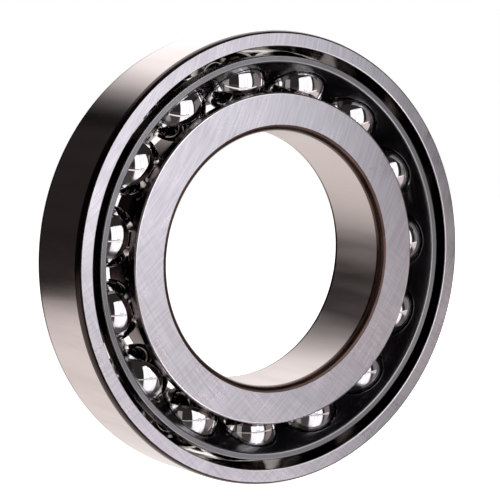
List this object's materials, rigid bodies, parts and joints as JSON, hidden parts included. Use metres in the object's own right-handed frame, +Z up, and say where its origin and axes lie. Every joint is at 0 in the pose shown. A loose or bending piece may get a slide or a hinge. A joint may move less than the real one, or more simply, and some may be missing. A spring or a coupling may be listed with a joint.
{
  "type": "angular contact ball bearing",
  "caption": "Angular contact ball bearing: an inner ring turns inside an outer ring on balls spaced by a tapered window cage, for radial load and thrust from one side.",
  "frame": {"origin": "centre of the bearing, on its axis, midway between the two side faces", "axes": "+Y along the bearing axis, from the open side with the wide inner-ring face (front, -Y) to the back; +Z up as the bearing stands on its outer ring; +X to the right seen from the front"},
  "size_m": [0.16, 0.03, 0.16],
  "materials": {
    "outer_ring_steel": "ground bearing steel, satin, with fine grinding lines",
    "inner_ring_steel": "ground bearing steel, satin, with fine grinding lines",
    "ball_steel": "lapped and polished bearing steel, mirror bright",
    "cage_polymer": "moulded black glass-filled polyamide, semi-gloss"
  },
  "bodies": {
    "outer_ring": {"outer_ring": "outer_ring_steel"},
    "inner_ring": {"inner_ring": "inner_ring_steel"},
    "cage": {"cage": "cage_polymer"},
    "ball_01": {"ball_01": "ball_steel"},
    "ball_02": {"ball_02": "ball_steel"},
    "ball_03": {"ball_03": "ball_steel"},
    "ball_04": {"ball_04": "ball_steel"},
    "ball_05": {"ball_05": "ball_steel"},
    "ball_06": {"ball_06": "ball_steel"},
    "ball_07": {"ball_07": "ball_steel"},
    "ball_08": {"ball_08": "ball_steel"},
    "ball_09": {"ball_09": "ball_steel"},
    "ball_10": {"ball_10": "ball_steel"},
    "ball_11": {"ball_11": "ball_steel"},
    "ball_12": {"ball_12": "ball_steel"},
    "ball_13": {"ball_13": "ball_steel"},
    "ball_14": {"ball_14": "ball_steel"},
    "ball_15": {"ball_15": "ball_steel"}
  },
  "joints": [
    {"name": "inner_ring_spin", "type": "hinge", "parent": "outer_ring", "child": "inner_ring", "pos_m": [0, 0, 0], "axis": [0, 1, 0], "continuous": true},
    {"name": "cage_spin", "type": "hinge", "parent": "outer_ring", "child": "cage", "pos_m": [0, 0, 0], "axis": [0, 1, 0], "continuous": true},
    {"name": "ball_01_spin", "type": "hinge", "parent": "cage", "child": "ball_01", "pos_m": [-0.00913, 0, 0.06183], "axis": [0.0939, 0.766, -0.6359], "continuous": true},
    {"name": "ball_02_spin", "type": "hinge", "parent": "cage", "child": "ball_02", "pos_m": [0.01681, 0, 0.0602], "axis": [-0.1729, 0.766, -0.6191], "continuous": true},
    {"name": "ball_03_spin", "type": "hinge", "parent": "cage", "child": "ball_03", "pos_m": [0.03984, 0, 0.04816], "axis": [-0.4097, 0.766, -0.4953], "continuous": true},
    {"name": "ball_04_spin", "type": "hinge", "parent": "cage", "child": "ball_04", "pos_m": [0.05598, 0, 0.02779], "axis": [-0.5758, 0.766, -0.2858], "continuous": true},
    {"name": "ball_05_spin", "type": "hinge", "parent": "cage", "child": "ball_05", "pos_m": [0.06245, 0, 0.00262], "axis": [-0.6422, 0.766, -0.0269], "continuous": true},
    {"name": "ball_06_spin", "type": "hinge", "parent": "cage", "child": "ball_06", "pos_m": [0.05811, 0, -0.02301], "axis": [-0.5976, 0.766, 0.2366], "continuous": true},
    {"name": "ball_07_spin", "type": "hinge", "parent": "cage", "child": "ball_07", "pos_m": [0.04373, 0, -0.04465], "axis": [-0.4497, 0.766, 0.4593], "continuous": true},
    {"name": "ball_08_spin", "type": "hinge", "parent": "cage", "child": "ball_08", "pos_m": [0.02179, 0, -0.05858], "axis": [-0.2241, 0.766, 0.6025], "continuous": true},
    {"name": "ball_09_spin", "type": "hinge", "parent": "cage", "child": "ball_09", "pos_m": [-0.00392, 0, -0.06238], "axis": [0.0404, 0.766, 0.6415], "continuous": true},
    {"name": "ball_10_spin", "type": "hinge", "parent": "cage", "child": "ball_10", "pos_m": [-0.02896, 0, -0.05539], "axis": [0.2978, 0.766, 0.5696], "continuous": true},
    {"name": "ball_11_spin", "type": "hinge", "parent": "cage", "child": "ball_11", "pos_m": [-0.04898, 0, -0.03882], "axis": [0.5037, 0.766, 0.3993], "continuous": true},
    {"name": "ball_12_spin", "type": "hinge", "parent": "cage", "child": "ball_12", "pos_m": [-0.06054, 0, -0.01554], "axis": [0.6226, 0.766, 0.1599], "continuous": true},
    {"name": "ball_13_spin", "type": "hinge", "parent": "cage", "child": "ball_13", "pos_m": [-0.06162, 0, 0.01042], "axis": [0.6338, 0.766, -0.1072], "continuous": true},
    {"name": "ball_14_spin", "type": "hinge", "parent": "cage", "child": "ball_14", "pos_m": [-0.05206, 0, 0.03459], "axis": [0.5354, 0.766, -0.3557], "continuous": true},
    {"name": "ball_15_spin", "type": "hinge", "parent": "cage", "child": "ball_15", "pos_m": [-0.03349, 0, 0.05277], "axis": [0.3444, 0.766, -0.5427], "continuous": true}
  ],
  "couplings": [
    {"joint": "cage_spin", "follows": "inner_ring_spin", "ratio": 0.4319},
    {"joint": "ball_01_spin", "follows": "inner_ring_spin", "ratio": -2.76},
    {"joint": "ball_02_spin", "follows": "inner_ring_spin", "ratio": -2.76},
    {"joint": "ball_03_spin", "follows": "inner_ring_spin", "ratio": -2.76},
    {"joint": "ball_04_spin", "follows": "inner_ring_spin", "ratio": -2.76},
    {"joint": "ball_05_spin", "follows": "inner_ring_spin", "ratio": -2.76},
    {"joint": "ball_06_spin", "follows": "inner_ring_spin", "ratio": -2.76},
    {"joint": "ball_07_spin", "follows": "inner_ring_spin", "ratio": -2.76},
    {"joint": "ball_08_spin", "follows": "inner_ring_spin", "ratio": -2.76},
    {"joint": "ball_09_spin", "follows": "inner_ring_spin", "ratio": -2.76},
    {"joint": "ball_10_spin", "follows": "inner_ring_spin", "ratio": -2.76},
    {"joint": "ball_11_spin", "follows": "inner_ring_spin", "ratio": -2.76},
    {"joint": "ball_12_spin", "follows": "inner_ring_spin", "ratio": -2.76},
    {"joint": "ball_13_spin", "follows": "inner_ring_spin", "ratio": -2.76},
    {"joint": "ball_14_spin", "follows": "inner_ring_spin", "ratio": -2.76},
    {"joint": "ball_15_spin", "follows": "inner_ring_spin", "ratio": -2.76}
  ]
}
